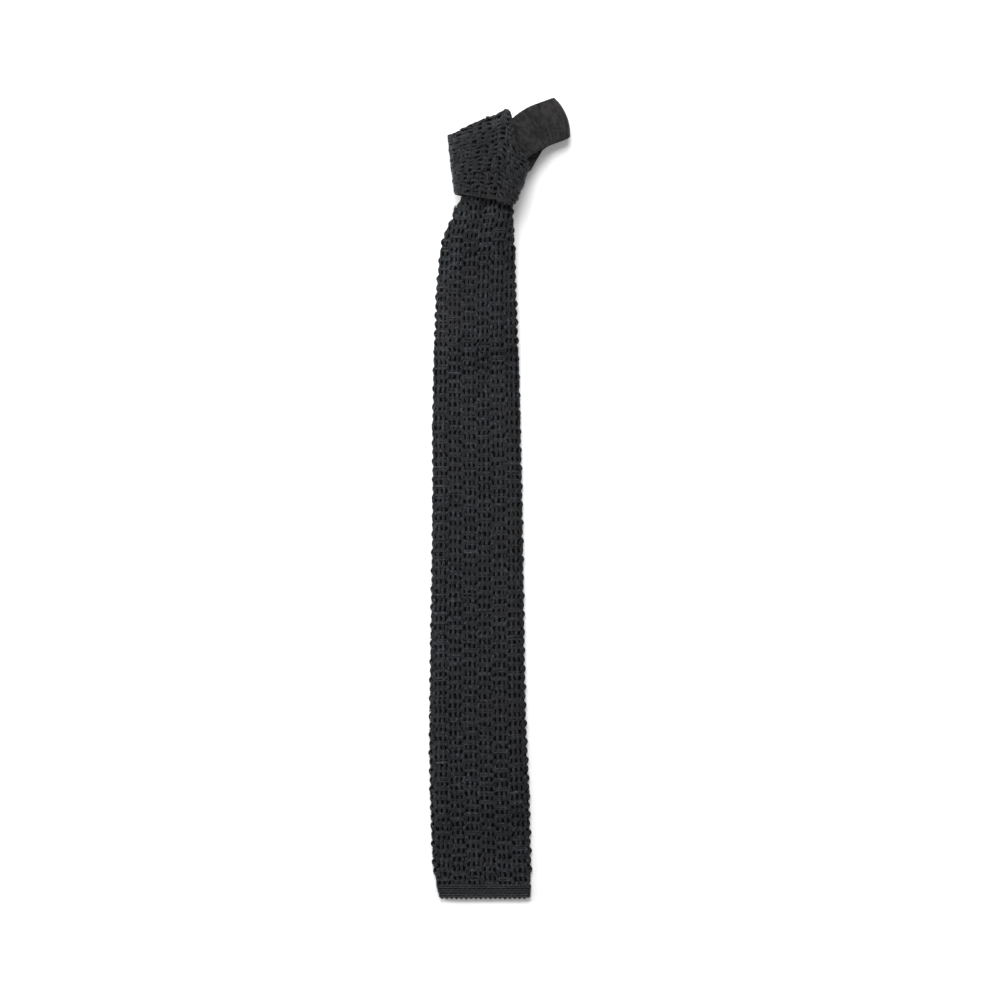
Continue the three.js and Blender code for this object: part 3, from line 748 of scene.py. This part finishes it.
hems = []
for title, stripAt in (("blade", bladeStrip), ("tail", tailStrip)):
    length = solid[title + "Length"]
    cloth = hemCloth(title + "_hem_cloth", stripAt, length)
    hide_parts(title + "_hem")
    hems.append([cloth, hemYarns(title + "_hem_yarns", stripAt, length),
                 hemTeeth(title + "_hem_teeth", stripAt, length)])
print("hems:", [len(p.data.polygons) for made in hems for p in made])

# The neck band: a closer knit, with a low ridge for each course across it
band = {"ridge": 1.6, "ridgeHeight": 0.15, "spacing": 0.36}
bandShape = neckBandStrip(band["spacing"])
groove = 1 - np.abs(np.sin(math.pi * runLength(bandShape.middle) / band["ridge"]))
bandShape.thick = bandShape.thick - 2 * band["ridgeHeight"] * groove
neckBand = gridPiece("neck_band_cloth", section(bandShape, 0, 22))
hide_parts("neck_band")
print("neck band:", len(neckBand.data.polygons))

# The wrap: a closed ring of cloth round the knot, with the same knit running round it
wrapKnit = {
    "turns": 120, "rises": 26, "rim": 0.02, "inset": 0.9,
    "wales": 18, "closest": 2.1, "plies": 4, "gap": 0.9,
    "loose": 1.7,                        # its yarns lie less evenly than the blade's
}


def wrapCloth():
    turns = (np.arange(wrapKnit["turns"]) + 0.5) / wrapKnit["turns"]
    rises = np.linspace(wrapKnit["rim"], 1 - wrapKnit["rim"], wrapKnit["rises"])
    turn, rise = np.meshgrid(turns, rises, indexing="ij")
    step = 2e-3
    normal = -unit(np.cross(wrapPoint(turn, rise + step) - wrapPoint(turn, rise - step),
                            wrapPoint(turn + step, rise) - wrapPoint(turn - step, rise)))
    outer = wrapPoint(turn, rise) - wrapKnit["inset"] * normal
    inner = wrapPoint(turn, rise) - solid["wrapWall"] * normal
    rims = []
    for at, back in ((-1, -2), (0, 1)):
        outward = unit(outer[:, at] - outer[:, back])
        half, middle = (outer[:, at] - inner[:, at]) / 2, (outer[:, at] + inner[:, at]) / 2
        angles = np.linspace(0, math.pi, 7)[1:-1]
        rims.append(np.stack([middle + half * math.cos(a) + outward * math.sin(a) for a in angles], 1))
    ring = np.concatenate([outer, rims[0], inner[:, ::-1], rims[1][:, ::-1]], 1)
    return gridPiece("wrap_cloth", ring, ring=True, filled=False)


def wrapLattice():
    courses = int(round(wrapLengths[-1] / knit["course"] / 4) * 4)
    pitchAlong = wrapLengths[-1] / courses
    course, wale = pairs(np.arange(courses), np.arange(wrapKnit["wales"]))
    along = (course + 0.5) * pitchAlong
    span = np.interp(turnAt(along), spanTurns, spanTable)
    pitch = np.maximum(span / wrapKnit["wales"], wrapKnit["closest"])
    across = span / 2 - (wale + 0.5) * pitch
    kept = across > -span / 2 + 0.5
    size = np.clip(pitch / knit["wale"], 0.75, 1)
    loops = [v[kept] for v in (across, along, course, wale)]
    shown = carriesPlies(course, wale) & (across - pitch > -span / 2)
    low, high = np.maximum(across - 2 * pitch, -span / 2), across + pitch
    floats = [v[shown] for v in ((low + high) / 2, along + pitchAlong / 2, (high - low) / 2)]
    return loops, floats, size[kept]


# The blade's turn behind the neck band, which shows below the stub at the knot's right side
sideFold = {
    "corners": [[(22.0, 13.0, 12.5), (18.0, 33.0, 9.4)], [(27.3, 18.2, 11.5), (34.2, 31.6, 8.6)]],
    "thick": 1.6, "sag": 0.8, "under": 0.7, "wale": 2.6, "reach": 3.9,
}


def foldSurface():
    corners = np.array(sideFold["corners"])
    low, high = corners
    wide = np.linalg.norm(high - low, axis=1).mean()
    long = np.linalg.norm(corners[:, 1] - corners[:, 0], axis=1).mean()

    def place(across, along):
        u, v = (across / wide)[..., None], (along / long)[..., None]
        flat = (low[0] * (1 - v) + low[1] * v) * (1 - u) + (high[0] * (1 - v) + high[1] * v) * u
        return flat - up * sideFold["sag"] * (np.clip(u, 0, 1) ** 3)

    return (place, 1), wide, long


def addSideFold():
    surface, wide, long = foldSurface()
    share, out, height = roundSection(10)
    thick = sideFold["thick"]
    across = (share + 1) / 2 * wide + out * thick / 2
    depth = (height - 1) * thick / 2 - sideFold["under"]
    rows = [onSurface(surface, across, along, depth)[0] for along in np.linspace(0, long, 12)]
    cloth = gridPiece("wrap_fold_cloth", np.array(rows))
    courses = np.arange(-1, int(wide / knit["course"]) - 1)
    wales = np.arange(int(long / sideFold["wale"]) + 1)
    course, wale = pairs(courses, wales)
    turned = (lambda across, along: surface[0](along, across), -1)
    a, s = (wale + 0.5) * sideFold["wale"], (course + 0.5) * knit["course"]
    loops = addLoops("wrap_fold_loops", turned, a, s, course, wale)
    shown = carriesPlies(course, wale)
    floats = addFloats("wrap_fold_floats", turned, a[shown], s[shown] + knit["course"] / 2,
                       np.full(shown.sum(), sideFold["reach"]))
    return [cloth, loops, floats]


# Three plies of yarn bind each rim of the wrap
rim = {"depth": [0.75, 1.7, 2.5], "out": [0.5, 0.6, 0.35], "yarn": 0.5, "wave": 0.22, "waves": 46}


def addRims(name):
    turn = np.linspace(0, 1, 361)
    paths, normals = [], []
    for rise, inner, side in ((wrapKnit["rim"], 0.06, 1), (1 - wrapKnit["rim"], 0.94, -1)):
        edge = wrapPoint(turn, rise)
        outward = unit(edge - wrapPoint(turn, inner))
        around = unit(np.gradient(edge, axis=0))
        normal = unit(np.cross(outward, around)) * side
        for ply, (depth, out) in enumerate(zip(rim["depth"], rim["out"])):
            wave = rim["wave"] * np.sin(2 * math.pi * rim["waves"] * turn + ply * 2)[:, None]
            paths.append(edge - normal * depth + outward * (out + wave))
            normals.append(normal)
    return yarnPiece(name, np.array(paths), np.array(normals), rim["yarn"], 6, random.random(len(paths)))


wrapBase = wrapCloth()
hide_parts("knot_wrap")
foldPieces = addSideFold()
loops, floats, size = wrapLattice()
loose = wrapKnit["loose"]
wrapPieces = [*foldPieces[1:],
              addLoops("wrap_loops", wrapSurface(), *loops, size=size, loose=loose),
              addFloats("wrap_floats", wrapSurface(), *floats, lay=wrapKnit, loose=loose),
              addRims("wrap_rims")]
print("wrap:", [len(p.data.polygons) for p in (wrapBase, *wrapPieces)])


# Shader maths: a value wraps a socket, and an expression on values adds its Math nodes
class Value:
    def __init__(self, tree, socket):
        self.tree, self.socket = tree, socket

    def combine(self, operation, other, swapped=False):
        made = self.tree.nodes.new("ShaderNodeMath")
        made.operation = operation
        for socket, term in zip(made.inputs, (other, self) if swapped else (self, other)):
            feed(self.tree, socket, term)
        return Value(self.tree, made.outputs[0])

    def __add__(self, other):
        return self.combine("ADD", other)

    def __sub__(self, other):
        return self.combine("SUBTRACT", other)

    def __rsub__(self, other):
        return self.combine("SUBTRACT", other, True)

    def __mul__(self, other):
        return self.combine("MULTIPLY", other)

    def sine(self):
        return self.combine("SINE", 0.0)

    __radd__, __rmul__ = __add__, __mul__


def feed(tree, socket, term):
    if isinstance(term, Value):
        tree.links.new(term.socket, socket)
    else:
        socket.default_value = term


class Finish:
    def __init__(self, name, **fixed):
        self.material = bpy.data.materials.new(name)
        self.material.use_nodes = True
        self.tree = self.material.node_tree
        self.shader = self.tree.nodes["Principled BSDF"]
        for socket, value in fixed.items():
            self.shader.inputs[socket.replace("_", " ")].default_value = value

    def node(self, kind, settings=None, inputs=None, output=0):
        made = self.tree.nodes.new("ShaderNode" + kind)
        for key, value in (settings or {}).items():
            setattr(made, key, value)
        for key, value in (inputs or {}).items():
            feed(self.tree, made.inputs[key], value)
        return Value(self.tree, made.outputs[output])

    def mix(self, factor, a, b):          # a and b are colours
        return self.node("Mix", {"data_type": "RGBA"}, {0: factor, 6: a, 7: b}, 2)

    def noise(self, scale, detail=2.0, output=0):
        place = self.node("TexCoord", output=3)      # Object coordinates
        return self.node("TexNoise", None, {"Vector": place, "Scale": scale, "Detail": detail}, output)

    # How far a value is past low, growing to most at high
    def past(self, value, low, high, most):
        ends = {"From Min": low, "From Max": high, "To Max": most}
        return self.node("MapRange", None, {"Value": value, **ends})

    def surface(self, colour, roughness, height, depth):
        feed(self.tree, self.shader.inputs["Base Color"], colour)
        feed(self.tree, self.shader.inputs["Roughness"], roughness)
        bump = self.node("Bump", None, {"Height": height, "Distance": depth, "Strength": 1.0})
        feed(self.tree, self.shader.inputs["Normal"], bump)
        return self.material


def splitUv(finish):
    uv = finish.node("TexCoord", output=2)
    return [finish.node("SeparateXYZ", None, {0: uv}, i) for i in range(2)]


colours = {
    "yarnDark": (0.0028, 0.0038, 0.0052, 1), "yarnLight": (0.064, 0.075, 0.094, 1),
    "yarnWarm": (0.012, 0.0092, 0.0105, 1), "yarnGreen": (0.007, 0.0112, 0.0096, 1),
    # the ground under the knit: near black, painted shade for the shadowed inside of the tube that shows
    # through the knit's holes
    "cloth": (0.0022, 0.0023, 0.0026, 1), "groundShadeDark": (0.001, 0.001, 0.0011, 1),
    "band": (0.0195, 0.0178, 0.019, 1), "bandDark": (0.0016, 0.0015, 0.0016, 1),
    "floor": (0.9, 0.9, 0.9, 1), "floorPale": (0.92, 0.92, 0.92, 1),
}


# Spun yarn: two plies twisted round each other, each length a little lighter or darker than the next
yarnTwist = 0.9                           # millimetres of yarn to a turn


def yarnFinish(name, lift=1.0):
    finish = Finish(name, Sheen_Weight=0.02, Sheen_Roughness=0.4, Specular_IOR_Level=0.34)
    along, turn = splitUv(finish)
    twist = ((along * (1 / yarnTwist) + turn * 2) * (2 * math.pi)).sine() * 0.5 + 0.5
    shade = finish.node("Attribute", {"attribute_name": "shade"}, output=2)
    patches = finish.noise(38.0)
    fibres = finish.noise(2600.0, 3.0)
    speckle = finish.noise(640.0, 1.0)
    # The twist also goes into the colour: each ply's crown is painted lighter and the groove between plies
    # darker, painted highlight and shade
    light = twist * 0.4 + shade * 0.5 + patches * 0.2 + speckle * 2.4 - 1.86
    dark, pale = (tuple(v * lift for v in colours[key][:3]) + (1,) for key in ("yarnDark", "yarnLight"))
    colour = finish.mix(light, dark, pale)
    hues = finish.node("SeparateXYZ", None, {0: finish.noise(26.0, 1.0, 1)})
    colour = finish.mix(finish.past(hues, 0.5, 0.7, 0.35), colour, colours["yarnWarm"])
    colour = finish.mix(finish.past(patches, 0.5, 0.75, 0.45), colour, colours["yarnGreen"])
    return finish.surface(colour, 0.36 + fibres * 0.2, twist * 0.7 + fibres * 0.3, 0.0002)


# The ground sheet under the knit, near black: painted shade for the inside of the tubes and the knot, which
# shows through the knit's holes and between the hem's ridges
def groundShadeFinish():
    finish = Finish("painted_shade_ground", Specular_IOR_Level=0.05)
    fibres = finish.noise(1400.0, 3.0)
    colour = finish.mix(fibres, colours["groundShadeDark"], colours["cloth"])
    return finish.surface(colour, 0.7 + fibres * 0.2, fibres, 0.0002)


# The close knit: wales of small V stitches, in light streaks
def bandFinish():
    finish = Finish("close_knit", Sheen_Weight=0.05, Sheen_Roughness=0.5, Specular_IOR_Level=0.18)
    across, along = splitUv(finish)
    wale, course = 1.3, 1.15
    lean = across.combine("PINGPONG", wale / 2)
    stitches = ((along + lean * 1.3) * (2 * math.pi / course)).sine() * 0.5 + 0.5
    wales = (lean * (2 * math.pi / wale)).sine()
    fibres = finish.noise(2200.0, 3.0)
    patches = finish.noise(60.0)
    speckle = finish.noise(480.0, 2.0)
    height = stitches * 0.45 + wales * 0.55
    place = finish.node("CombineXYZ", None, {0: across * 0.1, 1: along * 0.45})
    streaks = finish.node("TexNoise", None, {"Vector": place, "Scale": 1.0, "Detail": 1.0})
    # The stitches' height goes into the colour as well: the low parts between stitches are painted darker,
    # painted shade in the grooves
    light = height * 0.5 + patches * 0.9 + fibres * 0.2 + speckle * 2.2 + streaks * 2.2 - 2.5
    colour = finish.mix(light, colours["bandDark"], colours["band"])
    return finish.surface(colour, 0.6 + fibres * 0.2, height * 0.8 + fibres * 0.2, 0.0003)


openYarn = yarnFinish("open_knit_yarn")
hemYarn = yarnFinish("plain_knit_yarn", 0.9)
# The knot's yarn: the open knit's yarn made darker, painted shade, since the knot's knit shows fewer shaded
# holes than the blade's
wrapShadedYarn = yarnFinish("wrap_yarn_painted_shade", 0.72)
bladeKnit, tailKnit = [*bladeFace, *bladeBack, bladeEdge], [*tailBack, tailEdge]
worn = [(groundShadeFinish(), [bladeCloth, tailCloth, wrapBase, *(made[0] for made in hems)]),
        (bandFinish(), [neckBand, foldPieces[0]]),
        (openYarn, bladeKnit + tailKnit), (wrapShadedYarn, wrapPieces), (hemYarn, hems[0][1:] + hems[1][1:])]
for finish, pieces in worn:
    for piece in pieces:
        piece.data.materials.append(finish)
print("finishes and slots set")


# Floor, light and camera, in metres and watts. The camera looks straight down.
studio = {
    "camera": 2.0, "view": 0.62, "look": (0.0, -0.00115), "world": 0.36,
    "floorHalf": 3.0, "floorUnder": 0.0006,
}
lights = {                                # place, size and power
    "key_light": ((-0.12, 1.05, 1.12), 0.9, 29.0),
    "fill_light": ((0.9, -0.5, 1.5), 1.2, 5.0),
    "side_light": ((-1.3, 0.35, 0.65), 0.5, 18.0),
}
floor = bpy.data.meshes.new("floor")
bm = bmesh.new()
bmesh.ops.create_grid(bm, x_segments=1, y_segments=1, size=studio["floorHalf"])
bm.to_mesh(floor)
bm.free()
floorObject = bpy.data.objects.new("floor", floor)
bpy.context.scene.collection.objects.link(floorObject)
floorObject.location.z = -studio["floorUnder"]
pale = Finish("pale_floor", Roughness=0.9, Specular_IOR_Level=0.1)
clouded = pale.mix(pale.noise(6.0), colours["floor"], colours["floorPale"])
pale.surface(clouded, 0.9, pale.noise(300.0), 0.00002)
floor.materials.append(pale.material)

for name, (place, lightSize, power) in lights.items():
    data = bpy.data.lights.new(name, "AREA")
    data.size, data.energy = lightSize, power
    light = bpy.data.objects.new(name, data)
    light.location = place
    light.rotation_euler = (-Vector(place)).to_track_quat("-Z", "Y").to_euler()
    bpy.context.scene.collection.objects.link(light)
bpy.context.scene.view_settings.view_transform = "Standard"
world = bpy.context.scene.world or bpy.data.worlds.new("studio")
bpy.context.scene.world = world
world.use_nodes = True
world.node_tree.nodes["Background"].inputs["Color"].default_value = (1, 1, 1, 1)
world.node_tree.nodes["Background"].inputs["Strength"].default_value = studio["world"]

view = bpy.data.cameras.new("photo_view")
view.sensor_width = 36
view.lens = 36 * studio["camera"] / studio["view"]
camera = bpy.data.objects.new("photo_view", view)
camera.location = (*studio["look"], studio["camera"])
bpy.context.scene.collection.objects.link(camera)
bpy.context.scene.camera = camera
print("floor, lights and camera set")
